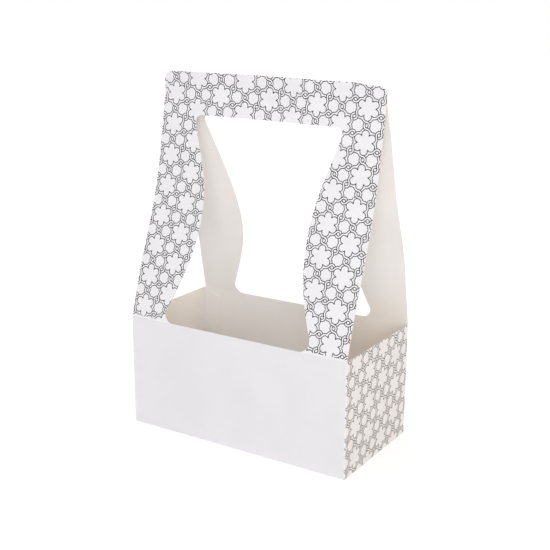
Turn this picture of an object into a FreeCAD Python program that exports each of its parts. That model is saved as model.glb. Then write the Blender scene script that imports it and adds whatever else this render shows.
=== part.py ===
import FreeCAD, Part
import math
import os
from FreeCAD import Vector

# Card carrier for two drinks: a folded tray whose front and back panels
# run on upwards as two arched straps and meet in one flat grip bar.
# Millimetres. X runs along the tray, Y from front (-) to back (+), Z up,
# and the underside of the tray is at Z = 0.

# Card
card = 0.5                      # thickness of the card
crease_radius = 0.3             # inside radius of a creased fold

# Tray, outside sizes
tray_length = 220.0
tray_depth = 112.0
tray_height = 102.5             # height of the crease where the straps start

# Handle, cut from the same panels as the front and back of the tray
strap_edge_inset = 0.4          # strap edges start on the corner creases
handle_rise = 213.5             # from the crease to the top edge
glued_height = 10.0             # front and back panels lie flat together
handle_corner_radius = 7.5

# Window cut through both handle panels. It leaves a bar on top and a
# strap on each side, measured here from the end of the tray.
bar_height = 37.0
strap_top_width = 36.7
strap_waist_width = 56.0        # the strap swells out to this
strap_foot_width = 36.5
waist_rise = 88.5               # from the crease up to the waist
window_top_radius = 6.5
window_foot_radius = 9.0
swell_pull = 30.0               # how far each swell keeps its direction
lower_lean = 12.0               # sideways run over that height at the foot
upper_lean = 9.5                # the same at the shoulder

# Bends of the two handle panels, seen from the end of the tray.
# Each pair is the share of the way in to the middle and the share of the
# way up to the glued strip.
front_bend = ((0.26, 0.22), (0.53, 0.415), (0.77, 0.63), (0.925, 0.85))
back_bend = ((0.11, 0.15), (0.24, 0.32), (0.48, 0.50), (0.70, 0.69), (0.895, 0.885))

# Bottom: a front and a back flap meet at a seam below two end flaps
seam_gap = 0.8
end_flap_length = 74.0
end_flap_margin = 2.0           # kept clear of the front and back walls
end_flap_taper = 9.0

# Flap that closes the tray into a tube, glued inside the back wall
lap_width = 16.0
lap_margin = 1.5                # kept clear of the bottom and the crease
lap_taper = 6.0

half_length = tray_length / 2
half_depth = tray_depth / 2
fold_radius = crease_radius + card
handle_half = half_length - strap_edge_inset
top_height = tray_height + handle_rise
glue_level = top_height - glued_height
window_top = top_height - bar_height


def line(a, b):
    return Part.makeLine(a, b)


def block(x0, x1, y0, y1, z0, z1):
    return Part.makeBox(x1 - x0, y1 - y0, z1 - z0, Vector(x0, y0, z0))


def prism(points, thickness):
    """Flat outline given as points, pushed along a vector."""
    face = Part.Face(Part.makePolygon(points + [points[0]]))
    return face.extrude(thickness)


def spline(points, end_direction):
    """Smooth curve through points that arrives in a given direction."""
    curve = Part.BSplineCurve()
    start_direction = points[1] - points[0]
    curve.interpolate(Points=points, InitialTangent=start_direction,
                      FinalTangent=end_direction)
    return curve


def handle_section(side, bend):
    """End view of one handle panel: its outer curve and the same curve
    moved inwards by the thickness of the card. side is -1 front, 1 back."""
    run = half_depth - card
    rise = glue_level - tray_height
    up = Vector(0, 0, 1)
    outer = [Vector(0, side * half_depth, tray_height)]
    for share_in, share_up in bend:
        y = side * (half_depth - share_in * run)
        outer.append(Vector(0, y, tray_height + share_up * rise))
    outer.append(Vector(0, side * card, glue_level))
    outer_curve = spline(outer, up)

    # The inner curve starts on the mitre of the crease.
    lean = math.atan2(side * (outer[0].y - outer[1].y), outer[1].z - outer[0].z)
    drop = card * math.tan(lean / 2)
    inner = [Vector(0, side * (half_depth - card), tray_height - drop)]
    for point in outer[1:-1]:
        tangent = outer_curve.tangent(outer_curve.parameter(point))[0]
        normal = Vector(0, -side * tangent.z, side * tangent.y).normalize()
        inner.append(point + normal * card)
    inner.append(Vector(0, 0, glue_level))
    inner_curve = spline(inner, up)

    outer_top = Vector(0, side * card, top_height)
    inner_top = Vector(0, 0, top_height)
    edges = [
        outer_curve.toShape(),
        line(outer[-1], outer_top),
        line(outer_top, inner_top),
        line(inner_top, inner[-1]),
        inner_curve.toShape(),
        line(inner[0], outer[0]),
    ]
    return Part.Face(Part.Wire(Part.__sortEdges__(edges)))


def half_window(side):
    """Edges of one side of the window, from the foot up to the bar."""
    foot_x = half_length - strap_foot_width
    waist_x = half_length - strap_waist_width
    top_x = half_length - strap_top_width
    foot_start = Vector(side * (foot_x - window_foot_radius), 0, tray_height)
    foot_end = Vector(side * foot_x, 0, tray_height + window_foot_radius)
    waist = Vector(side * waist_x, 0, tray_height + waist_rise)
    shoulder = Vector(side * top_x, 0, window_top - window_top_radius)
    bar_end = Vector(side * (top_x - window_top_radius), 0, window_top)
    up_pull = Vector(0, 0, swell_pull)

    lower = Part.BezierCurve()
    lower.setPoles([
        foot_end,
        foot_end + Vector(-side * lower_lean, 0, swell_pull),
        waist - up_pull,
        waist,
    ])
    upper = Part.BezierCurve()
    upper.setPoles([
        waist,
        waist + up_pull,
        shoulder - Vector(side * upper_lean, 0, swell_pull),
        shoulder,
    ])
    corner = math.sin(math.radians(45))
    foot_middle = foot_start + Vector(side * window_foot_radius * corner, 0,
                                      window_foot_radius * (1 - corner))
    top_middle = bar_end + Vector(side * window_top_radius * corner, 0,
                                  -window_top_radius * (1 - corner))
    return [
        Part.Arc(foot_start, foot_middle, foot_end).toShape(),
        lower.toShape(),
        upper.toShape(),
        Part.Arc(shoulder, top_middle, bar_end).toShape(),
    ], foot_start, bar_end


def window_cutter():
    right, right_foot, right_bar = half_window(1)
    left, left_foot, left_bar = half_window(-1)
    edges = right + left + [line(right_foot, left_foot), line(right_bar, left_bar)]
    face = Part.Face(Part.Wire(Part.__sortEdges__(edges)))
    face.translate(Vector(0, -tray_depth, 0))
    return face.extrude(Vector(0, 2 * tray_depth, 0))


def handle_blank():
    """Outline of the handle seen from the front, with its top corners
    rounded, as a prism that trims both panels."""
    blank = block(-handle_half, handle_half, -tray_depth, tray_depth,
                  0, top_height)
    corners = []
    for edge in blank.Edges:
        middle = edge.BoundBox.Center
        along_depth = edge.BoundBox.YLength > tray_depth
        if along_depth and middle.z > glue_level:
            corners.append(edge)
    return blank.makeFillet(handle_corner_radius, corners)


def handle():
    width = Vector(2 * handle_half, 0, 0)
    panels = []
    for side, bend in ((-1, front_bend), (1, back_bend)):
        face = handle_section(side, bend)
        face.translate(Vector(-handle_half, 0, 0))
        panels.append(face.extrude(width))
    both = panels[0].fuse(panels[1])
    return both.common(handle_blank()).cut(window_cutter())


def rounded_box(inset, radius):
    """Box with all its folds rounded and a sharp cut edge on top."""
    box = block(-half_length + inset, half_length - inset,
                -half_depth + inset, half_depth - inset,
                inset, tray_height + tray_depth)
    folds = [e for e in box.Edges if e.BoundBox.ZMin < tray_height]
    box = box.makeFillet(radius, folds)
    cap = block(-tray_length, tray_length, -tray_depth, tray_depth,
                tray_height, tray_height + 2 * tray_depth)
    return box.cut(cap)


def tray_walls():
    shell = rounded_box(0, fold_radius).cut(rounded_box(card, crease_radius))
    seam = block(-half_length + fold_radius, half_length - fold_radius,
                 -seam_gap / 2, seam_gap / 2, -card, card)
    return shell.cut(seam)


def end_flap(side):
    """Bottom flap of an end wall, lying on the front and back flaps."""
    reach = half_depth - card - end_flap_margin
    root = side * (half_length - card)
    tip = side * (half_length - card - end_flap_length)
    points = [
        Vector(root, -reach, card),
        Vector(tip, -reach + end_flap_taper, card),
        Vector(tip, reach - end_flap_taper, card),
        Vector(root, reach, card),
    ]
    return prism(points, Vector(0, 0, card))


def glue_lap():
    """Flap of the left end wall, glued inside the back wall."""
    root = -half_length + card
    tip = root + lap_width
    low = 2 * card + lap_margin
    high = tray_height - lap_margin
    points = [
        Vector(root, half_depth - card, low),
        Vector(tip, half_depth - card, low + lap_taper),
        Vector(tip, half_depth - card, high - lap_taper),
        Vector(root, half_depth - card, high),
    ]
    return prism(points, Vector(0, -card, 0))


def carrier():
    pieces = [handle(), end_flap(-1), end_flap(1), glue_lap()]
    whole = tray_walls().multiFuse(pieces)
    return whole.removeSplitter()


shape = carrier()
if len(shape.Solids) == 1:
    shape = shape.Solids[0]
print("solids", len(shape.Solids), "valid", shape.isValid())
print("volume mm3", round(shape.Volume, 1))
print("box", shape.BoundBox)

os.makedirs("parts", exist_ok=True)
shape.exportStep("parts/carrier_sheet.step")
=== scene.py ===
import math

import bpy
import numpy as np
from mathutils import Matrix, Vector


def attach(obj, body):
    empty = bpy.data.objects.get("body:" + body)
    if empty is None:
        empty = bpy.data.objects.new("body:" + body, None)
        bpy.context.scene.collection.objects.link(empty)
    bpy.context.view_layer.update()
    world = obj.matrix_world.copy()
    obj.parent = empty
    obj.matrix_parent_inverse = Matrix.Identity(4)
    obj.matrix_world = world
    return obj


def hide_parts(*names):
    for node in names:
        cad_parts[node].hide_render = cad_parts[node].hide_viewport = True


# Card carrier for two drinks: a folded tray and two printed handle
# panels that meet in one grip bar. Shapes are worked out in millimetres,
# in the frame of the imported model, and turned to metres in make_piece().

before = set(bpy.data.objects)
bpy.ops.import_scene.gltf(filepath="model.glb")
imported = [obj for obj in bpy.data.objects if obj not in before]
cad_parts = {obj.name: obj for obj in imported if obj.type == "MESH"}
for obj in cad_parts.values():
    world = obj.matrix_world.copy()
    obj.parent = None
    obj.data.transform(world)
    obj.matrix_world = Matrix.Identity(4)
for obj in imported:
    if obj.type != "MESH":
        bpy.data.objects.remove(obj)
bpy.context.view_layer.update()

MM = 0.001

# Card. Its printed face sits a hair inside the nominal surface, so that
# the ink, which stands on it, ends at that surface.
CARD = 0.5
INK_HEIGHT = 0.04
CARD_LIFT = -INK_HEIGHT
INK_ROOT = -0.2                 # ribbons of ink start this deep in the card
PANEL_BACK = 0.01 - CARD        # keeps the backs of the two panels apart
FLAP_SINK = 0.02                # end flaps sit this far in the card below

# Length over which a crease fades out, and the angle in degrees from
# which two faces meet in a sharp edge
CREASE_FADE = 0.8
FLAP_FADE = 1.0
SHARP_ANGLE = 35.0

# Tray
HALF_LENGTH = 110.0
HALF_DEPTH = 56.0
TRAY_HEIGHT = 102.5
FOLD_RADIUS = 0.8
CORNER_RADIUS = 1.0
SEAM_GAP = 0.8

# Where the tray's mesh has its points: shares of the way from the seam to
# the bottom fold, heights on the walls and distances from a corner fold,
# and how many points go round each fold
FLOOR_SHARES = (0.0, 0.04, 0.5, 0.97)
WALL_HEIGHTS = (1.4, 2.4, 5.0, 15.0, 40.0, 70.0, 92.0, 99.0, 101.0, 101.8, TRAY_HEIGHT)
WALL_STEPS = (0.6, 1.4, 3.0, 8.0, 20.0, 40.0, 70.0)
CORNER_POINTS = 7
FOLD_POINTS = 6

# Handle panels. A bend is given by pairs: the share of the way in to the
# middle plane and the share of the way up to the glued strip.
HANDLE_HALF = 109.6
TOP = 316.0
GLUE_LEVEL = 306.0
HANDLE_CORNER = 7.5
FRONT_BEND = ((0.26, 0.22), (0.53, 0.415), (0.77, 0.63), (0.925, 0.85))
BACK_BEND = ((0.11, 0.15), (0.24, 0.32), (0.48, 0.50), (0.70, 0.69), (0.895, 0.885))

# Window cut through the panels: half widths and heights, and for its two
# swelling curves how far each keeps its direction and leans sideways
FOOT_X = 73.5
FOOT_RADIUS = 9.0
WAIST_X = 54.0
WAIST_Z = TRAY_HEIGHT + 88.5
SHOULDER_X = 73.3
WINDOW_TOP = 279.7
SHOULDER_RADIUS = 6.5
SWELL_PULL = 30.0
LOWER_LEAN = 12.0
UPPER_LEAN = 9.5

# How many points a handle panel's mesh has: round the foot arc, up a
# strap, on each part of the outer corner, along half the bar, and across
FOOT_POINTS = 9
STRAP_POINTS = 45
TOP_CORNER_POINTS = 7
BAR_POINTS = 13
PANEL_COLUMNS = 15

# Bottom and glue flaps
FLAP_LENGTH = 74.0
FLAP_REACH = 53.5
FLAP_TAPER = 9.0
LAP_WIDTH = 16.0
LAP_LOW = 2.5
LAP_HIGH = 101.0
LAP_TAPER = 6.0

# Print: a lattice of interlinked rings whose gaps leave six-petalled
# flowers. Measures of one ring are taken from its middle, with a crossing
# to the right, and one sixth of its centre line is enough.
FLOWER_PITCH = 27.35
LATTICE_STRETCH = 1.0064
RING_SIXTH = ((10.2, 0.0), (9.62, 1.6), (8.0, 2.62), (6.2, 2.98),
              (4.88, 3.81), (4.12, 4.8), (3.3, 5.716))
THIRD_TURN = 2 * math.pi / 3
BAND_HALF = 0.925
PETAL = (7.83, 6.76)
PETAL_RADIUS = 3.25
PETAL_START = math.radians(43)
PETAL_END = math.radians(162)
DART = ((8.3, 0.5), (8.7, 0.52), (9.1, 0.42), (9.5, 0.24), (9.9, 0.05))
RING_REACH = 13.0               # no ink of a ring lies further from its middle
HANDLE_LINE = 0.67
END_LINE = 0.56
CENTRE_STEP = 0.1
LINE_STEP = 0.75
LINE_TUCK = 0.05                # a broken line ends this far under the band

# Place of the print: the middle of one flower, across from the middle of
# the panel and up from its crease along the bend, or up an end wall
HANDLE_FLOWER = (-2.45, 10.9)
END_FLOWER = (8.45, 14.0)
PRINT_START = 1.5               # first height with ink above the crease
PRINT_TURN = -0.0055            # in radians
EDGE_GAP = 0.03                 # ink stops this far short of an edge
END_WRAP = 0.85                 # share of a corner fold that has ink
PAST_TOP = 50.0                 # the flat print is laid out this far past

# On the bar the print is shifted to the right, most in the middle
BAR_SHIFT = 2.4
BAR_REACH = 42.0
BAR_START = 160.0
BAR_FADE = 20.0

# The right half of the handle stands slightly lower than the left, and
# the top edge is cut down a little more by its right corner
SAG = 1.0
SAG_SPAN = (-20.0, 70.0)
TIP_DROP = 2.0
TIP_SPAN = (76.0, 104.0)
TIP_START = 285.0


# Shapes
def clamped_spline(knots, values, start_slope, end_slope):
    """Cubic spline through (knot, value) pairs with given end slopes.
    Solves for the slopes at the knots, then each span is the cubic
    Hermite curve between its two ends. Returns f(z) -> (value, slope)."""
    x = np.array(knots, float)
    y = np.array(values, float)
    h = np.diff(x)
    secant = np.diff(y) / h
    count = len(x)
    matrix = np.eye(count)
    right = np.zeros(count)
    right[0] = start_slope
    right[-1] = end_slope
    inner = np.arange(1, count - 1)
    matrix[inner, inner - 1] = h[1:]
    matrix[inner, inner] = 2 * (h[:-1] + h[1:])
    matrix[inner, inner + 1] = h[:-1]
    right[inner] = 3 * (h[1:] * secant[:-1] + h[:-1] * secant[1:])
    slope = np.linalg.solve(matrix, right)

    def curve(z):
        z = np.asarray(z, float)
        k = np.clip(np.searchsorted(x, z, "right") - 1, 0, count - 2)
        t = (z - x[k]) / h[k]
        value = ((1 + 2 * t) * (1 - t) ** 2 * y[k] + t * (1 - t) ** 2 * h[k] * slope[k]
                 + t * t * (3 - 2 * t) * y[k + 1] - t * t * (1 - t) * h[k] * slope[k + 1])
        rate = (6 * t * (t - 1) * (y[k] - y[k + 1]) / h[k]
                + (1 - t) * (1 - 3 * t) * slope[k] + t * (3 * t - 2) * slope[k + 1])
        return value, rate

    return curve


def bend_curve(bend):
    """Distance of a handle panel from the middle plane by height: a
    clamped spline up to the glued strip, and half a card above it."""
    rise = GLUE_LEVEL - TRAY_HEIGHT
    run = HALF_DEPTH - CARD
    z = [TRAY_HEIGHT] + [TRAY_HEIGHT + up * rise for _, up in bend] + [GLUE_LEVEL]
    y = [HALF_DEPTH] + [HALF_DEPTH - share * run for share, _ in bend] + [CARD]
    spline = clamped_spline(z, y, (y[1] - y[0]) / (z[1] - z[0]), 0.0)

    def curve(height):
        value, rate = spline(np.minimum(height, GLUE_LEVEL))
        rate = np.where(np.asarray(height) > GLUE_LEVEL, 0.0, rate)
        return value, rate

    return curve


def bezier_run(poles, count):
    """Points of a cubic Bezier curve given by its four poles."""
    t = np.linspace(0, 1, count)[:, None]
    p = np.array(poles, float)
    return ((1 - t) ** 3 * p[0] + 3 * t * (1 - t) ** 2 * p[1]
            + 3 * t * t * (1 - t) * p[2] + t ** 3 * p[3])


def window_side():
    """Half width of the window by height between its foot and shoulder
    arcs: two Bezier curves that meet at the waist."""
    foot = np.array((FOOT_X, TRAY_HEIGHT + FOOT_RADIUS))
    waist = np.array((WAIST_X, WAIST_Z))
    shoulder = np.array((SHOULDER_X, WINDOW_TOP - SHOULDER_RADIUS))
    up = np.array((0.0, SWELL_PULL))
    foot_pull = foot + (-LOWER_LEAN, SWELL_PULL)
    shoulder_pull = shoulder - (UPPER_LEAN, SWELL_PULL)
    lower = bezier_run((foot, foot_pull, waist - up, waist), 60)
    upper = bezier_run((waist, waist + up, shoulder_pull, shoulder), 60)
    run = np.concatenate([lower, upper[1:]])
    return lambda z: np.interp(z, run[:, 1], run[:, 0])


window_half_width = window_side()
front_curve = bend_curve(FRONT_BEND)
back_curve = bend_curve(BACK_BEND)


def smooth_step(x, span):
    """Rises from 0 to 1 over a span, level at both ends."""
    t = np.clip((x - span[0]) / (span[1] - span[0]), 0, 1)
    return t * t * (3 - 2 * t)


def handle_surface(side, curve, x, z, lift):
    """Point of a handle panel seen at (x, z), moved along the outward
    normal by lift. side is -1 for the front panel and 1 for the back.
    The sag grows with the square of the height and, smoothly, from the
    middle of the bar to its right end, and the drop of the tip likewise
    over the bar's last part."""
    y, rate = curve(z)
    length = np.sqrt(1 + rate * rate)
    up = np.clip((z - TRAY_HEIGHT) / (GLUE_LEVEL - TRAY_HEIGHT), 0, 1)
    tip = np.clip((z - TIP_START) / (TOP - TIP_START), 0, 1)
    sag = SAG * smooth_step(x, SAG_SPAN) * up * up
    drop = TIP_DROP * smooth_step(x, TIP_SPAN) * tip * tip
    height = z - lift * rate / length - sag - drop
    return np.stack([x + 0 * z, side * (y + lift / length), height], -1)


def end_surface(side, y, z, lift):
    """Point of an end wall at flat place (y, z). Past the flat part the
    wall bends round the corner folds and under the bottom fold: a ball of
    the fold radius is carried along the inset edges."""
    flat_y = HALF_DEPTH - CORNER_RADIUS
    over_y = np.maximum(np.abs(y) - flat_y, 0) / CORNER_RADIUS
    over_z = np.maximum(FOLD_RADIUS - z, 0) / FOLD_RADIUS
    core_x = HALF_LENGTH - CORNER_RADIUS
    core_y = np.clip(y, -flat_y, flat_y)
    sign = np.sign(y)
    reach = CORNER_RADIUS - FOLD_RADIUS + (FOLD_RADIUS + lift) * np.cos(over_z)
    px = side * (core_x + reach * np.cos(over_y))
    py = core_y + sign * reach * np.sin(over_y)
    pz = np.maximum(z, FOLD_RADIUS) - (FOLD_RADIUS + lift) * np.sin(over_z)
    return np.stack([px, py, pz], -1)


# Meshes
def grid_quads(rows, cols, offset=0, closed=False):
    """Quads of a grid of points counted row by row. closed joins the last
    row to the first."""
    last = rows if closed else rows - 1
    r, c = np.meshgrid(np.arange(last), np.arange(cols - 1), indexing="ij")
    a = r * cols + c
    b = (r + 1) % rows * cols + c
    return offset + np.stack([a, b, b + 1, a + 1], -1).reshape(-1, 4)


def card_shell(outer, inner, closed=False):
    """Closed shell between two matching grids of points (rows, cols, 3):
    the outer face, the inner face and the cut edges round them. Returns
    points, quads and the finish of each quad: 0 outside, 1 inside, 2 cut."""
    rows, cols = outer.shape[:2]
    count = rows * cols
    points = np.concatenate([outer.reshape(-1, 3), inner.reshape(-1, 3)])
    out_quads = grid_quads(rows, cols, 0, closed)
    in_quads = grid_quads(rows, cols, count, closed)[:, ::-1]
    border = [np.arange(rows) * cols,
              (np.arange(rows) * cols + cols - 1)[::-1]]
    if closed:
        border = [np.append(line, line[0]) for line in border]
    else:
        border += [np.arange(cols)[::-1], np.arange(cols) + (rows - 1) * cols]
    rims = []
    for line in border:
        a, b = line[:-1], line[1:]
        rims.append(np.stack([b, a, a + count, b + count], -1))
    rim_quads = np.concatenate(rims)
    quads = np.concatenate([out_quads, in_quads, rim_quads])
    finish = np.repeat([0, 1, 2], [len(out_quads), len(in_quads), len(rim_quads)])
    return points, quads, finish


def join_shells(shells):
    """Several shells (points, quads, finish, fold) as one."""
    offset = np.cumsum([0] + [len(s[0]) for s in shells[:-1]])
    points = np.concatenate([s[0] for s in shells])
    quads = np.concatenate([s[1] + o for s, o in zip(shells, offset)])
    finish = np.concatenate([s[2] for s in shells])
    fold = np.concatenate([s[3] for s in shells])
    return points, quads, finish, fold


def signed_volume(points, quads):
    """Volume inside the quads, negative where they face inwards."""
    p = points[quads]
    first = np.einsum("ij,ij->i", p[:, 0], np.cross(p[:, 1], p[:, 2]))
    second = np.einsum("ij,ij->i", p[:, 0], np.cross(p[:, 2], p[:, 3]))
    return (first.sum() + second.sum()) / 6


def make_piece(name, points, quads, materials, finish=None, fold=None):
    """Puts points in millimetres and quads into a mesh object in metres,
    faces outwards and smooth but for its sharp edges. finish is the
    material of each quad and fold the depth of crease at each point."""
    if signed_volume(points, quads) < 0:
        quads = quads[:, ::-1]
    mesh = bpy.data.meshes.new(name)
    mesh.vertices.add(len(points))
    mesh.vertices.foreach_set("co", (points * MM).astype(np.float32).ravel())
    mesh.loops.add(quads.size)
    mesh.loops.foreach_set("vertex_index", quads.astype(np.int32).ravel())
    mesh.polygons.add(len(quads))
    mesh.polygons.foreach_set("loop_start", np.arange(0, quads.size, 4, dtype=np.int32))
    if finish is not None:
        mesh.polygons.foreach_set("material_index", finish.astype(np.int32))
    mesh.update(calc_edges=True)
    mesh.validate()
    if fold is not None:
        layer = mesh.attributes.new("fold", "FLOAT", "POINT")
        layer.data.foreach_set("value", fold.astype(np.float32))
    for material in materials:
        mesh.materials.append(material)
    mesh.polygons.foreach_set("use_smooth", np.ones(len(quads), bool))
    mesh.set_sharp_from_angle(angle=math.radians(SHARP_ANGLE))
    piece = bpy.data.objects.new(name, mesh)
    bpy.context.scene.collection.objects.link(piece)
    return piece


# Card pieces
def crease_at(distance, fade=CREASE_FADE):
    """Depth of a crease by distance from it: 1 on it, fading outwards."""
    return np.exp(-distance / fade)


def quarter_turn(count):
    """Evenly spaced angles from 0 to a quarter turn."""
    return np.linspace(0, math.pi / 2, count)


def handle_outlines():
    """Matching points (x, z) on the window edge and on the outer edge of
    a handle panel, from the right foot over the bar to the left foot."""
    turn = quarter_turn(FOOT_POINTS)
    foot_z = TRAY_HEIGHT + FOOT_RADIUS * (1 - np.cos(turn))
    foot_x = FOOT_X - FOOT_RADIUS + FOOT_RADIUS * np.sin(turn)
    shoulder_z = WINDOW_TOP - SHOULDER_RADIUS
    strap_z = np.linspace(TRAY_HEIGHT + FOOT_RADIUS, shoulder_z, STRAP_POINTS)[1:]
    strap_x = window_half_width(strap_z)

    corner_x = HANDLE_HALF - HANDLE_CORNER
    corner_z = TOP - HANDLE_CORNER
    bar_x = SHOULDER_X - SHOULDER_RADIUS
    rise = np.linspace(shoulder_z, corner_z, TOP_CORNER_POINTS)[1:]
    arc = quarter_turn(TOP_CORNER_POINTS)[1:]
    across = np.linspace(corner_x, bar_x, TOP_CORNER_POINTS)[1:]
    outer_x = np.concatenate([np.full(len(rise), HANDLE_HALF),
                              corner_x + HANDLE_CORNER * np.cos(arc), across])
    outer_z = np.concatenate([rise, corner_z + HANDLE_CORNER * np.sin(arc),
                              np.full(len(across), TOP)])
    sweep = quarter_turn(len(outer_x) + 1)[1:]
    inner_x = bar_x + SHOULDER_RADIUS * np.cos(sweep)
    inner_z = shoulder_z + SHOULDER_RADIUS * np.sin(sweep)

    along = np.linspace(bar_x, 0, BAR_POINTS)[1:]
    inner = np.concatenate([
        np.stack([foot_x, foot_z], -1), np.stack([strap_x, strap_z], -1),
        np.stack([inner_x, inner_z], -1),
        np.stack([along, np.full(len(along), WINDOW_TOP)], -1)])
    strap_edge = np.concatenate([foot_z, strap_z])
    outer = np.concatenate([
        np.stack([np.full(len(strap_edge), HANDLE_HALF), strap_edge], -1),
        np.stack([outer_x, outer_z], -1),
        np.stack([along, np.full(len(along), TOP)], -1)])
    mirror = np.array((-1.0, 1.0))
    inner = np.concatenate([inner, inner[-2::-1] * mirror])
    outer = np.concatenate([outer, outer[-2::-1] * mirror])
    return inner, outer


def handle_panel(side, curve):
    """Bent card of one handle panel: straight lines from the window edge
    to the outer edge, laid on the bend curve, with the card's thickness."""
    inner, outer = handle_outlines()
    share = np.linspace(0, 1, PANEL_COLUMNS)[None, :, None]
    flat = inner[:, None] * (1 - share) + outer[:, None] * share
    x, z = flat[..., 0], flat[..., 1]
    face = handle_surface(side, curve, x, z, CARD_LIFT)
    back = handle_surface(side, curve, x, z, PANEL_BACK)
    points, quads, finish = card_shell(face, back)
    fold = crease_at(np.tile((z - TRAY_HEIGHT).ravel(), 2))
    return points, quads, finish, fold


def wall_path(inset):
    """Closed path round the tray, this far inside its outer faces: the
    four sides with rounded corners. Returns points (x, y), outward
    normals and the distance to the nearest corner fold."""
    half_x = HALF_LENGTH - CORNER_RADIUS
    half_y = HALF_DEPTH - CORNER_RADIUS
    steps = np.array(WALL_STEPS)
    turn = quarter_turn(CORNER_POINTS)
    places, normals, reach = [], [], []
    corners = ((half_x, half_y, 0), (-half_x, half_y, 1),
               (-half_x, -half_y, 2), (half_x, -half_y, 3))
    for number, (cx, cy, quarter) in enumerate(corners):
        angle = quarter * math.pi / 2 + turn
        normal = np.stack([np.cos(angle), np.sin(angle)], -1)
        places.append(np.array((cx, cy)) + (CORNER_RADIUS - inset) * normal)
        normals.append(normal)
        reach.append(np.zeros(len(turn)))
        nx, ny, _ = corners[(number + 1) % 4]
        length = math.hypot(nx - cx, ny - cy)
        near = steps[steps < length / 2]
        run = np.concatenate([near, [length / 2], length - near[::-1]])
        step = np.array((nx - cx, ny - cy)) / length
        side_normal = normal[-1]
        start = np.array((cx, cy)) + (CORNER_RADIUS - inset) * side_normal
        places.append(start + run[:, None] * step)
        normals.append(np.tile(side_normal, (len(run), 1)))
        reach.append(np.minimum(run, length - run))
    return np.concatenate(places), np.concatenate(normals), np.concatenate(reach)


def tray_shell():
    """Folded tray: each point of the wall path carries a profile that
    starts at the seam under the tray, runs out to the bottom fold, round
    it and up the wall. The inner face follows a card's thickness inside."""
    faces = []
    for inset, fold_r, floor in ((-CARD_LIFT, FOLD_RADIUS + CARD_LIFT, 0.0),
                                 (CARD, FOLD_RADIUS - CARD, CARD)):
        path, normal, reach = wall_path(inset)
        core = path - fold_r * normal
        seam_x = np.clip(core[:, 0], -HALF_LENGTH + CORNER_RADIUS, HALF_LENGTH - CORNER_RADIUS)
        seam = np.stack([seam_x, np.sign(core[:, 1]) * SEAM_GAP / 2], -1)
        seam[np.abs(core[:, 1]) < 1e-6, 1] = 0.0
        columns, folds = [], []
        for share in FLOOR_SHARES:
            place = seam * (1 - share) + core * share
            columns.append(np.column_stack([place, np.full(len(place), floor)]))
            folds.append(np.zeros(len(place)))
        centre_z = floor + fold_r
        for turn in quarter_turn(FOLD_POINTS):
            place = core + fold_r * math.sin(turn) * normal
            height = centre_z - fold_r * math.cos(turn)
            columns.append(np.column_stack([place, np.full(len(place), height)]))
            folds.append(np.ones(len(place)))
        on_long_side = np.abs(normal[:, 1]) > 0.99
        for height in WALL_HEIGHTS:
            columns.append(np.column_stack([path, np.full(len(path), height)]))
            top_crease = crease_at(TRAY_HEIGHT - height) * on_long_side
            bottom = crease_at(height - FOLD_RADIUS)
            folds.append(np.maximum(top_crease, np.maximum(crease_at(reach), bottom)))
        faces.append((np.stack(columns, 1), np.stack(folds, 1)))
    (outer, fold_out), (inner, fold_in) = faces
    points, quads, finish = card_shell(outer, inner, closed=True)
    return points, quads, finish, np.concatenate([fold_out.ravel(), fold_in.ravel()])


def end_flap(side):
    """Bottom flap of an end wall: a tapered plate on the lower flaps."""
    along = np.linspace(0, 1, 9)[:, None]
    across = np.linspace(-1, 1, 9)[None, :]
    root = side * (HALF_LENGTH - CARD)
    x = root - side * FLAP_LENGTH * along + 0 * across
    y = across * (FLAP_REACH - FLAP_TAPER * along)
    top = np.stack([x, y, np.full(x.shape, 2 * CARD - FLAP_SINK)], -1)
    under = np.stack([x, y, np.full(x.shape, CARD - FLAP_SINK)], -1)
    points, quads, _ = card_shell(top, under)
    fold = crease_at(np.abs(points[:, 0] - root), FLAP_FADE)
    return points, quads, np.ones(len(quads), int), fold


def glue_lap():
    """Flap of the left end wall, glued inside the back wall."""
    along = np.linspace(0, 1, 5)[:, None]
    up = np.linspace(0, 1, 17)[None, :]
    root = -HALF_LENGTH + CARD
    low = LAP_LOW + LAP_TAPER * along
    high = LAP_HIGH - LAP_TAPER * along
    x = root + LAP_WIDTH * along + 0 * up
    z = low * (1 - up) + high * up
    wall = HALF_DEPTH - CARD
    near = np.stack([x, np.full(x.shape, wall - CARD), z], -1)
    far = np.stack([x, np.full(x.shape, wall), z], -1)
    points, quads, _ = card_shell(near, far)
    fold = crease_at(np.abs(points[:, 0] - root), FLAP_FADE)
    return points, quads, np.ones(len(quads), int), fold


# Print
def closed_spline(points, step):
    """Closed cubic spline through points, by chord length, with the
    second derivatives solved for, as evenly spaced points."""
    p = np.array(points, float)
    count = len(p)
    chord = np.linalg.norm(np.roll(p, -1, 0) - p, axis=1)
    before = np.roll(chord, 1)
    place = np.concatenate([[0.0], np.cumsum(chord)])
    matrix = np.zeros((count, count))
    k = np.arange(count)
    matrix[k, k] = 2 * (before + chord)
    matrix[k, k - 1] = before
    matrix[k, (k + 1) % count] = chord
    ahead = (np.roll(p, -1, 0) - p) / chord[:, None]
    behind = (p - np.roll(p, 1, 0)) / before[:, None]
    bend = np.linalg.solve(matrix, 6 * (ahead - behind))
    s = np.arange(0, place[-1], step)
    k = np.searchsorted(place, s, "right") - 1
    h = chord[k][:, None]
    u = (s - place[k])[:, None]
    w = h - u
    p_next = np.roll(p, -1, 0)[k]
    bend_next = np.roll(bend, -1, 0)[k]
    return (bend[k] * w ** 3 / (6 * h) + bend_next * u ** 3 / (6 * h)
            + (p[k] / h - bend[k] * h / 6) * w + (p_next / h - bend_next * h / 6) * u)


def turned(points, angle):
    """Plane points turned about the origin."""
    c, s = math.cos(angle), math.sin(angle)
    return points @ np.array(((c, s), (-s, c)))


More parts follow.
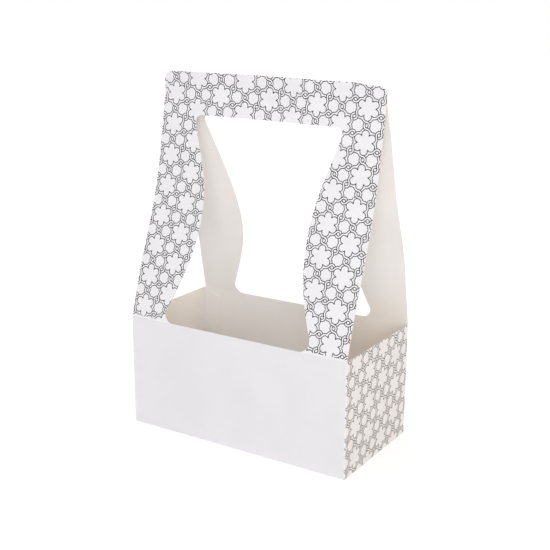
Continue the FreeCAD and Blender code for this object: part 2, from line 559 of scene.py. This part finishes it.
def ring_centre_line():
    """Centre line of one ring: a sixth, its mirror image, three times."""
    sixth = np.array(RING_SIXTH)
    mirror = turned(sixth[-2:0:-1] * (1, -1), THIRD_TURN)
    third = np.concatenate([sixth, mirror])
    turns = [turned(third, k * THIRD_TURN) for k in range(3)]
    return closed_spline(np.concatenate(turns), CENTRE_STEP)


def side_normals(line, closed=False):
    """Unit normals to the right of a line of plane points."""
    if closed:
        tangent = np.roll(line, -1, 0) - np.roll(line, 1, 0)
    else:
        tangent = np.gradient(line, axis=0)
    tangent = tangent / np.linalg.norm(tangent, axis=1)[:, None]
    return np.stack([tangent[:, 1], -tangent[:, 0]], -1)


def outer_third(line):
    """Outer line of a third of a ring, from notch to notch: the given
    line beside the centre line as far as the petals on both sides, then
    each petal's arc into its notch."""
    angle = np.arctan2(line[:, 1], line[:, 0])
    near = np.abs(angle) < PETAL_START
    middle = line[near][np.argsort(angle[near])]
    petal = np.array(PETAL)
    start = math.atan2(middle[-1, 1] - petal[1], middle[-1, 0] - petal[0]) + 2 * math.pi
    bend = np.linspace(start, PETAL_END, 30)[1:, None]
    arc = petal + PETAL_RADIUS * np.concatenate([np.cos(bend), np.sin(bend)], 1)
    return np.concatenate([arc[::-1] * (1, -1), middle, arc])


def covered(line, centre, width):
    """Marks the points of a line that lie under the band of one of the
    three neighbours. Each ring passes over a neighbour on the far side of
    their eye, counted anticlockwise, and under it on the near side."""
    angle = np.arctan2(line[:, 1], line[:, 0])
    reach = FLOWER_PITCH / math.sqrt(3)
    hidden = np.zeros(len(line), bool)
    for k in range(3):
        direction = k * THIRD_TURN
        other = reach * np.array((math.cos(direction), math.sin(direction))) - centre
        gap = np.linalg.norm(line[:, None] - other[None], axis=2).min(axis=1)
        past = (angle - direction + math.pi) % (2 * math.pi) - math.pi
        near_side = (past < 0) & (past > -math.pi / 3)
        hidden |= near_side & (gap < BAND_HALF + width / 2 - LINE_TUCK)
    return hidden


def even_strip(run, width):
    """Strip of the given width along a run of points, evenly divided."""
    length = np.concatenate([[0], np.cumsum(np.linalg.norm(np.diff(run, axis=0), axis=1))])
    count = max(3, int(round(length[-1] / LINE_STEP)) + 1)
    even = np.linspace(0, length[-1], count)
    run = np.stack([np.interp(even, length, run[:, 0]),
                    np.interp(even, length, run[:, 1])], -1)
    out = side_normals(run) * width / 2
    return run - out, run + out


def ring_strips(width):
    """Ink of one ring as strips, each a left and a right edge: the inner
    line all round, the outer line in three thirds that end in the
    notches, both broken where they pass under, and a filled dart in each
    notch."""
    centre = ring_centre_line()
    normal = side_normals(centre, closed=True)
    lines = []
    inner = centre - BAND_HALF * normal
    first = np.flatnonzero(covered(inner, centre, width))[0]
    lines.append(np.roll(inner, -first, 0))
    third = outer_third(centre + BAND_HALF * normal)
    for k in range(3):
        lines.append(turned(third, k * THIRD_TURN))
    strips = []
    for line in lines:
        shown = np.concatenate([[0], ~covered(line, centre, width), [0]]).astype(int)
        change = np.diff(shown)
        for start, stop in zip(np.flatnonzero(change == 1), np.flatnonzero(change == -1)):
            strips.append(even_strip(line[start:stop], width))
    dart = np.array(DART)
    for k in range(3):
        direction = (k + 0.5) * THIRD_TURN
        strips.append((turned(dart, direction), turned(dart * (1, -1), direction)))
    return strips


def lattice_strips(flower, width, reach_u, reach_v):
    """Strips of all rings whose middle lies in the given reach of the
    flat sheet. Each flower of the lattice has a ring on its right and,
    half a turn round, one on its left."""
    stretch = np.array((LATTICE_STRETCH, 1.0))
    column = FLOWER_PITCH * math.sqrt(3) / 2 * LATTICE_STRETCH
    arm = FLOWER_PITCH / math.sqrt(3) * LATTICE_STRETCH
    ring = [(left * stretch, right * stretch) for left, right in ring_strips(width)]
    strips = []
    columns = range(-int(reach_u / column) - 3, int(reach_u / column) + 4)
    rows = range(-3, int(reach_v / FLOWER_PITCH) + 3)
    for i in columns:
        for j in rows:
            u = flower[0] + i * column
            v = flower[1] + (j + 0.5 * (i % 2)) * FLOWER_PITCH
            for turn in (1, -1):
                middle = np.array((u + turn * arm, v))
                across = abs(middle[0]) <= reach_u + RING_REACH
                if across and -RING_REACH <= v <= reach_v + RING_REACH:
                    strips += [(middle + turn * left, middle + turn * right)
                               for left, right in ring]
    return strips


def inward_slope(margin, points):
    """Direction in which the margin grows, by central differences."""
    e = 0.01
    du = margin(points + (e, 0)) - margin(points - (e, 0))
    dv = margin(points + (0, e)) - margin(points - (0, e))
    slope = np.stack([du, dv], -1)
    return slope / np.maximum(np.linalg.norm(slope, axis=-1, keepdims=True), 1e-9)


def onto_card(margin, points):
    """Points off the card moved back onto its edge."""
    depth = np.minimum(margin(points), 0)[:, None]
    return points - depth * inward_slope(margin, points)


def strip_end(left, right, margin, inside, outside):
    """Last pair of a strip that leaves the card between two of its pairs:
    each edge stops where it crosses the edge of the card."""
    ends = []
    for rail in (left, right):
        pair = rail[[inside, outside]]
        near, far = margin(pair)
        if near > 0:
            ends.append(pair[0] + (pair[1] - pair[0]) * near / (near - far))
        else:
            ends.append(None)
    held = onto_card(margin, np.stack([left[inside], right[inside]]))
    if ends[0] is None:
        ends[0] = (held[0] + ends[1]) / 2
    if ends[1] is None:
        ends[1] = (held[1] + ends[0]) / 2
    return ends


def trim_strip(left, right, margin):
    """Parts of a strip that lie on the card, cut along its edge."""
    on_card = np.stack([margin(left), margin(right)]) > 0
    if on_card.all():
        return [(left, right)]
    some = on_card.any(axis=0)
    steps = np.diff(np.concatenate([[0], some.astype(int), [0]]))
    parts = []
    for first, stop in zip(np.flatnonzero(steps == 1), np.flatnonzero(steps == -1)):
        new_left = onto_card(margin, left[first:stop])
        new_right = onto_card(margin, right[first:stop])
        if first > 0:
            end = strip_end(left, right, margin, first, first - 1)
            new_left = np.concatenate([[end[0]], new_left])
            new_right = np.concatenate([[end[1]], new_right])
        if stop < len(left):
            end = strip_end(left, right, margin, stop - 1, stop)
            new_left = np.concatenate([new_left, [end[0]]])
            new_right = np.concatenate([new_right, [end[1]]])
        if len(new_left) > 1:
            parts.append((new_left, new_right))
    return parts


def ink_mesh(strips, place):
    """Closed ribbons of ink: each strip gets its top on the surface that
    place(points, lift) gives, its underside within the card, two sides
    and two ends."""
    all_points, all_quads = [], []
    offset = 0
    for left, right in strips:
        count = len(left)
        rails = [place(left, 0.0), place(right, 0.0),
                 place(right, INK_ROOT), place(left, INK_ROOT)]
        points = np.stack(rails, 1).reshape(-1, 3)
        k = np.arange(count - 1) * 4
        quads = []
        for a in range(4):
            b = (a + 1) % 4
            quads.append(np.stack([k + a, k + b, k + 4 + b, k + 4 + a], -1))
        tail = (count - 1) * 4
        ends = np.array(((3, 2, 1, 0), (tail, tail + 1, tail + 2, tail + 3)))
        all_points.append(points)
        all_quads.append(np.concatenate(quads + [ends]) + offset)
        offset += len(points)
    return np.concatenate(all_points), np.concatenate(all_quads)


def handle_margin(points):
    """Distance from the edge of the card of a handle panel, positive on
    the card: from the outer outline with its two round corners, from the
    window and from the line where the print starts."""
    x = np.abs(points[..., 0])
    z = points[..., 1]
    corner_x = HANDLE_HALF - HANDLE_CORNER
    corner_z = TOP - HANDLE_CORNER
    outer = np.minimum(HANDLE_HALF - x, TOP - z)
    past = np.hypot(np.maximum(x - corner_x, 0), np.maximum(z - corner_z, 0))
    in_corner = (x > corner_x) & (z > corner_z)
    outer = np.where(in_corner, HANDLE_CORNER - past, outer)

    foot_x = FOOT_X - FOOT_RADIUS
    bar_x = SHOULDER_X - SHOULDER_RADIUS
    low = TRAY_HEIGHT + FOOT_RADIUS
    high = WINDOW_TOP - SHOULDER_RADIUS
    half = window_half_width(np.clip(z, low, high))
    slope = (window_half_width(np.clip(z + 0.5, low, high))
             - window_half_width(np.clip(z - 0.5, low, high)))
    beside = (x - half) / np.sqrt(1 + slope * slope)
    window = np.maximum(beside, z - WINDOW_TOP)
    shoulder = np.hypot(x - bar_x, z - high) - SHOULDER_RADIUS
    window = np.where((x > bar_x) & (z > high), shoulder, window)
    foot = np.hypot(x - foot_x, z - low) - FOOT_RADIUS
    window = np.where((x > foot_x) & (z < low), foot, window)
    start = z - TRAY_HEIGHT - PRINT_START
    return np.minimum(np.minimum(outer, window), start) - EDGE_GAP


def end_margin(points):
    """Distance from the edges of an end wall, whose corner folds belong
    to it almost round to the front and the back."""
    y = np.abs(points[..., 0])
    z = points[..., 1]
    half = HALF_DEPTH - CORNER_RADIUS + CORNER_RADIUS * END_WRAP * math.pi / 2
    low = FOLD_RADIUS - FOLD_RADIUS * math.pi / 4
    return np.minimum(np.minimum(half - y, TRAY_HEIGHT - z), z - low) - EDGE_GAP


def register(points):
    """Print as it sits on the handle: turned a little, and on the bar
    shifted to the right, most in the middle, by a bell curve."""
    moved = turned(points, PRINT_TURN)
    bell = np.exp(-(moved[:, 0] / BAR_REACH) ** 2)
    on_bar = np.clip((moved[:, 1] - BAR_START) / BAR_FADE, 0, 1)
    moved[:, 0] += BAR_SHIFT * bell * on_bar
    return moved


def print_handle(name, side, curve, flower):
    """Print on one handle panel: the lattice on the flat panel, where
    heights are lengths along the bend, laid onto the bent card. Seen from
    outside, the lattice runs the same way on both panels."""
    height = np.linspace(TRAY_HEIGHT, TOP, 800)
    y, _ = curve(height)
    steps = np.hypot(np.diff(y), np.diff(height))
    length = np.concatenate([[0.0], np.cumsum(steps)])
    panel_length = length[-1]
    length = np.append(length, panel_length + PAST_TOP)
    height = np.append(height, TOP + PAST_TOP)

    def stood_up(flat):
        placed = register(flat)
        return np.stack([-side * placed[:, 0],
                         np.interp(placed[:, 1], length, height)], -1)

    def on_panel(points, lift):
        return handle_surface(side, curve, points[:, 0], points[:, 1], lift)

    strips = []
    for left, right in lattice_strips(flower, HANDLE_LINE, HANDLE_HALF, panel_length):
        strips += trim_strip(stood_up(left), stood_up(right), handle_margin)
    points, quads = ink_mesh(strips, on_panel)
    return make_piece(name, points, quads, [ink])


def print_end(name, side, flower):
    """Print on one end wall, to its folds and its cut top edge."""
    def on_wall(points, lift):
        return end_surface(side, points[:, 0], points[:, 1], lift)

    strips = []
    for left, right in lattice_strips(flower, END_LINE, HALF_DEPTH, TRAY_HEIGHT):
        strips += trim_strip(left * (side, 1), right * (side, 1), end_margin)
    points, quads = ink_mesh(strips, on_wall)
    return make_piece(name, points, quads, [ink])


# Materials
def srgb(red, green, blue):
    """Linear colour from one written in 0..255."""
    values = np.array((red, green, blue)) / 255
    linear = np.where(values <= 0.04045, values / 12.92, ((values + 0.055) / 1.055) ** 2.4)
    return (*[float(v) for v in linear], 1.0)


class Nodes:
    """Small helper that adds nodes to a new material or world and links
    them."""

    def __init__(self, owner, output):
        owner.use_nodes = True
        self.owner = owner
        self.tree = owner.node_tree
        self.tree.nodes.clear()
        self.output = self.add(output)

    def add(self, kind):
        return self.tree.nodes.new(kind)

    def link(self, source, target):
        self.tree.links.new(source, target)


def material_nodes(name):
    """Helper for a new material."""
    return Nodes(bpy.data.materials.new(name), "ShaderNodeOutputMaterial")


def noise(nodes, place, scale, detail, roughness=0.5):
    """Noise on Object coordinates, with features of 1 / scale metres."""
    node = nodes.add("ShaderNodeTexNoise")
    node.inputs["Scale"].default_value = scale
    node.inputs["Detail"].default_value = detail
    node.inputs["Roughness"].default_value = roughness
    nodes.link(place, node.inputs["Vector"])
    return node.outputs["Fac"]


def spread(nodes, value, span, new_span):
    """Value mapped from one span to another, clamped."""
    node = nodes.add("ShaderNodeMapRange")
    for key, number in zip(("From Min", "From Max", "To Min", "To Max"), (*span, *new_span)):
        node.inputs[key].default_value = number
    nodes.link(value, node.inputs["Value"])
    return node.outputs["Result"]


def blended(nodes, share, first, second):
    """Colour between two, each a colour or a socket."""
    node = nodes.add("ShaderNodeMix")
    node.data_type = "RGBA"
    nodes.link(share, node.inputs["Factor"])
    for key, colour in ((6, first), (7, second)):
        if isinstance(colour, tuple):
            node.inputs[key].default_value = colour
        else:
            nodes.link(colour, node.inputs[key])
    return node.outputs[2]


def combined(nodes, operation, first, second):
    """Two values made one by a named operation, such as MULTIPLY."""
    node = nodes.add("ShaderNodeMath")
    node.operation = operation
    nodes.link(first, node.inputs[0])
    nodes.link(second, node.inputs[1])
    return node.outputs[0]


def bumped(nodes, height, distance, strength, below=None):
    """Bump whose height of 1 stands for distance metres."""
    node = nodes.add("ShaderNodeBump")
    node.inputs["Strength"].default_value = strength
    node.inputs["Distance"].default_value = distance
    nodes.link(height, node.inputs["Height"])
    if below is not None:
        nodes.link(below, node.inputs["Normal"])
    return node.outputs["Normal"]


def painted_bounce_below(nodes, place, colour, tone):
    """Colour that turns to a warmer, darker tone down inside the tray and towards its right end:
    painted warm bounce light and shade, where light goes from wall to wall. Depth and length are
    spans in metres, and each gives a share of the tone."""
    parts = nodes.add("ShaderNodeSeparateXYZ")
    nodes.link(place, parts.inputs[0])
    depth = spread(nodes, parts.outputs["Z"], (0.075, 0.14), (1.0, 0.0))
    to_right = spread(nodes, parts.outputs["X"], (-0.02, 0.08), (0.15, 1.0))
    return blended(nodes, combined(nodes, "MULTIPLY", depth, to_right), colour, tone)


def finished(nodes, colour, gloss, normal, sheen):
    """Material with a surface of this colour, roughness, normal and
    strength of reflection."""
    shader = nodes.add("ShaderNodeBsdfPrincipled")
    nodes.link(colour, shader.inputs["Base Color"])
    nodes.link(gloss, shader.inputs["Roughness"])
    nodes.link(normal, shader.inputs["Normal"])
    shader.inputs["Specular IOR Level"].default_value = sheen
    nodes.link(shader.outputs["BSDF"], nodes.output.inputs["Surface"])
    return nodes.owner


def card_material(name, plain, cloudy, crease_highlight_tone, roughness, sheen, fibre, painted_bounce_tone=None):
    """White card: a soft cloudy tone over the sheet, fine fibres in tone and height, a faint
    waviness of the sheet and a raised line where it is creased, painted paler there as a
    highlight. The tone deep inside the tray is painted warm light and shade."""
    nodes = material_nodes(name)
    place = nodes.add("ShaderNodeTexCoord").outputs["Object"]
    cloud = noise(nodes, place, scale=28.0, detail=3.0)
    colour = blended(nodes, spread(nodes, cloud, (0.35, 0.65), (0.0, 1.0)), plain, cloudy)
    grain = noise(nodes, place, scale=2200.0, detail=4.0, roughness=0.65)
    colour = blended(nodes, spread(nodes, grain, (0.3, 0.7), (0.0, fibre)), colour, cloudy)
    # Painted warm bounce light and shade deep inside the tray
    if painted_bounce_tone is not None:
        colour = painted_bounce_below(nodes, place, colour, painted_bounce_tone)
    # Paler along creases and folds: a painted highlight on the raised crease
    crease = nodes.add("ShaderNodeAttribute")
    crease.attribute_name = "fold"
    folded = crease.outputs["Fac"]
    colour = blended(nodes, spread(nodes, folded, (0.0, 1.0), (0.0, 0.35)), colour, crease_highlight_tone)

    wave = noise(nodes, place, scale=14.0, detail=2.0)
    normal = bumped(nodes, wave, distance=0.004, strength=0.16)
    normal = bumped(nodes, folded, distance=0.0002, strength=0.5, below=normal)
    normal = bumped(nodes, grain, distance=0.00004, strength=0.35, below=normal)
    patches = noise(nodes, place, scale=260.0, detail=2.0)
    gloss = spread(nodes, patches, (0.3, 0.7), (roughness - 0.05, roughness + 0.05))
    return finished(nodes, colour, gloss, normal, sheen)


def ink_material():
    """Dark grey ink: slightly uneven in depth, with the card's tooth."""
    nodes = material_nodes("lattice_ink")
    place = nodes.add("ShaderNodeTexCoord").outputs["Object"]
    depth = spread(nodes, noise(nodes, place, scale=900.0, detail=3.0), (0.35, 0.65), (0.0, 1.0))
    colour = blended(nodes, depth, srgb(20, 20, 23), srgb(36, 36, 40))
    gloss = spread(nodes, noise(nodes, place, scale=400.0, detail=2.0), (0.3, 0.7), (0.5, 0.6))
    tooth = noise(nodes, place, scale=2200.0, detail=3.0)
    normal = bumped(nodes, tooth, distance=0.00003, strength=0.3)
    return finished(nodes, colour, gloss, normal, sheen=0.3)


# Each card's colour along creases and folds is a painted highlight
outside = card_material("coated_white_card",
                        plain=srgb(235, 233, 235), cloudy=srgb(231, 229, 231),
                        crease_highlight_tone=srgb(240, 238, 239), roughness=0.5, sheen=0.35, fibre=0.25)
# Paler copy of the outside card for the tilted handle panels: painted light from above, the same
# card
painted_lit_outside = card_material("coated_white_handle_painted_lit",
                               plain=srgb(239, 237, 239), cloudy=srgb(236, 234, 236),
                               crease_highlight_tone=srgb(244, 243, 245), roughness=0.5, sheen=0.35,
                               fibre=0.25)
# Inside card; its warmer, darker tone deep in the tray is painted bounce light and shade
inside = card_material("uncoated_card_inside",
                       plain=srgb(246, 243, 241), cloudy=srgb(242, 239, 236),
                       crease_highlight_tone=srgb(246, 244, 241), roughness=0.8, sheen=0.2, fibre=0.5,
                       painted_bounce_tone=srgb(241, 231, 220))
cut_edge = card_material("cut_card_edge",
                         plain=srgb(233, 230, 225), cloudy=srgb(222, 218, 212),
                         crease_highlight_tone=srgb(236, 233, 229), roughness=0.85, sheen=0.1, fibre=0.7)
ink = ink_material()
tray_finishes = [outside, inside, cut_edge]
handle_finishes = [painted_lit_outside, inside, cut_edge]


# Pieces
def ride_as_card(piece):
    """Ties a piece to the one body of the carrier."""
    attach(piece, "root")
    return piece


points, quads, finish, fold = join_shells([tray_shell(), end_flap(-1), end_flap(1), glue_lap()])
tray = make_piece("folded_tray", points, quads, tray_finishes, finish, fold)
ride_as_card(tray)
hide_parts("carrier_sheet")

for name, side, curve in (("front_handle_panel", -1, front_curve),
                          ("back_handle_panel", 1, back_curve)):
    points, quads, finish, fold = handle_panel(side, curve)
    panel = make_piece(name, points, quads, handle_finishes, finish, fold)
    ride_as_card(panel)

ride_as_card(print_handle("front_handle_print", -1, front_curve, HANDLE_FLOWER))
ride_as_card(print_handle("back_handle_print", 1, back_curve, HANDLE_FLOWER))
ride_as_card(print_end("right_end_print", 1, END_FLOWER))
ride_as_card(print_end("left_end_print", -1, END_FLOWER))


# Scene
def seen_directly(nodes):
    """1 for rays that come from the camera or a reflection, 0 for rays
    that carry light about."""
    ray = nodes.add("ShaderNodeLightPath")
    seen = combined(nodes, "MAXIMUM", ray.outputs["Is Camera Ray"], ray.outputs["Is Glossy Ray"])
    return combined(nodes, "MAXIMUM", seen, ray.outputs["Is Transmission Ray"])


def mix_to_output(nodes, share, first, second):
    """Mix of two shaders, put on the output."""
    mix = nodes.add("ShaderNodeMixShader")
    nodes.link(share, mix.inputs[0])
    nodes.link(first.outputs[0], mix.inputs[1])
    nodes.link(second.outputs[0], mix.inputs[2])
    nodes.link(mix.outputs[0], nodes.output.inputs["Surface"])


def stage_material():
    """Pale studio floor: plain white, lifted to white for the camera and
    in reflections, less so near the object, where it keeps its shadow,
    and not at all under the tray, where the seam shows it."""
    nodes = material_nodes("studio_floor")
    place = nodes.add("ShaderNodeTexCoord").outputs["Object"]
    tone = spread(nodes, noise(nodes, place, scale=6.0, detail=2.0), (0.3, 0.7), (0.0, 1.0))
    colour = blended(nodes, tone, (0.88, 0.88, 0.88, 1.0), (0.90, 0.90, 0.90, 1.0))
    matt = nodes.add("ShaderNodeBsdfDiffuse")
    nodes.link(colour, matt.inputs["Color"])
    glow = nodes.add("ShaderNodeEmission")
    glow.inputs["Strength"].default_value = 1.12
    reach = nodes.add("ShaderNodeVectorMath")
    reach.operation = "LENGTH"
    nodes.link(place, reach.inputs[0])
    lift = spread(nodes, reach.outputs["Value"], (0.2, 0.55), (0.7, 1.0))
    open_floor = spread(nodes, reach.outputs["Value"], (0.045, 0.056), (0.0, 1.0))
    share = combined(nodes, "MULTIPLY", seen_directly(nodes), lift)
    share = combined(nodes, "MULTIPLY", share, open_floor)
    mix_to_output(nodes, share, matt, glow)
    return nodes.owner


def studio_floor():
    """Round flat floor, a hair below the tray: rings of points about the
    middle, 6 m in radius."""
    turn = np.linspace(0, 2 * math.pi, 97)[:-1, None]
    reach = np.array((0.01, 400.0, 1200.0, 3000.0, 6000.0))[None, :]
    x = reach * np.cos(turn)
    y = reach * np.sin(turn)
    top = np.stack([x, y, np.full(x.shape, -0.05)], -1)
    under = top - (0, 0, 5.0)
    points, quads, _ = card_shell(top, under, closed=True)
    return make_piece("studio_floor", points, quads, [stage_material()])


def lamp(name, place, size, energy, colour):
    """Square soft box that looks at the middle of the carrier."""
    light = bpy.data.lights.new(name, "AREA")
    light.shape = "SQUARE"
    light.size = size
    light.energy = energy
    light.color = colour
    holder = bpy.data.objects.new(name, light)
    holder.location = Vector(place)
    holder.rotation_mode = "QUATERNION"
    look = Vector((0.0, 0.0, 0.15)) - Vector(place)
    holder.rotation_quaternion = look.to_track_quat("-Z", "Y")
    bpy.context.scene.collection.objects.link(holder)


def white_world(room_light):
    """Even grey light all round, seen as pure white by the camera and in
    reflections."""
    nodes = Nodes(bpy.data.worlds.new("soft_white_room"), "ShaderNodeOutputWorld")
    shades = []
    for strength in (room_light, 1.0):
        shade = nodes.add("ShaderNodeBackground")
        shade.inputs["Color"].default_value = (1.0, 1.0, 1.0, 1.0)
        shade.inputs["Strength"].default_value = strength
        shades.append(shade)
    mix_to_output(nodes, seen_directly(nodes), *shades)
    bpy.context.scene.world = nodes.owner


def photo_camera(azimuth, elevation, roll, distance, target, lens):
    """Camera on a sphere round a target, in millimetres: azimuth from the
    front towards the right, elevation above the floor, turned by roll
    about its view, all in degrees."""
    az, el, turn = (math.radians(v) for v in (azimuth, elevation, roll))
    back = Vector((math.sin(az) * math.cos(el), -math.cos(az) * math.cos(el), math.sin(el)))
    right = Vector((math.cos(az), math.sin(az), 0.0))
    up = back.cross(right)
    axis_x = math.cos(turn) * right + math.sin(turn) * up
    axis_y = -math.sin(turn) * right + math.cos(turn) * up
    data = bpy.data.cameras.new("photo_camera")
    data.sensor_width = 36.0
    data.lens = lens
    data.clip_start = 0.05
    data.clip_end = 50.0
    camera = bpy.data.objects.new("photo_camera", data)
    matrix = Matrix((axis_x, axis_y, back)).transposed().to_4x4()
    matrix.translation = (Vector(target) + back * distance) * MM
    camera.matrix_world = matrix
    bpy.context.scene.collection.objects.link(camera)
    bpy.context.scene.camera = camera


white_world(0.44)
lamp("front_soft_box", (1.25, -1.75, 0.6), size=1.4, energy=22.0, colour=(0.98, 0.985, 1.0))
lamp("right_soft_box", (2.0, 0.5, 0.7), size=1.2, energy=9.0, colour=(1.0, 0.77, 0.46))
lamp("top_soft_box", (0.1, -0.9, 2.1), size=1.6, energy=12.0, colour=(0.99, 0.99, 1.0))
lamp("back_soft_box", (-1.4, 1.6, 0.9), size=1.4, energy=16.0, colour=(1.0, 1.0, 1.0))
floor = studio_floor()
photo_camera(azimuth=32.3967, elevation=15.7352, roll=0.2466, distance=882.7145,
             target=(6.82, -0.22, 145.12), lens=66.087)

scene = bpy.context.scene
scene.view_settings.view_transform = "Standard"

bpy.context.view_layer.update()
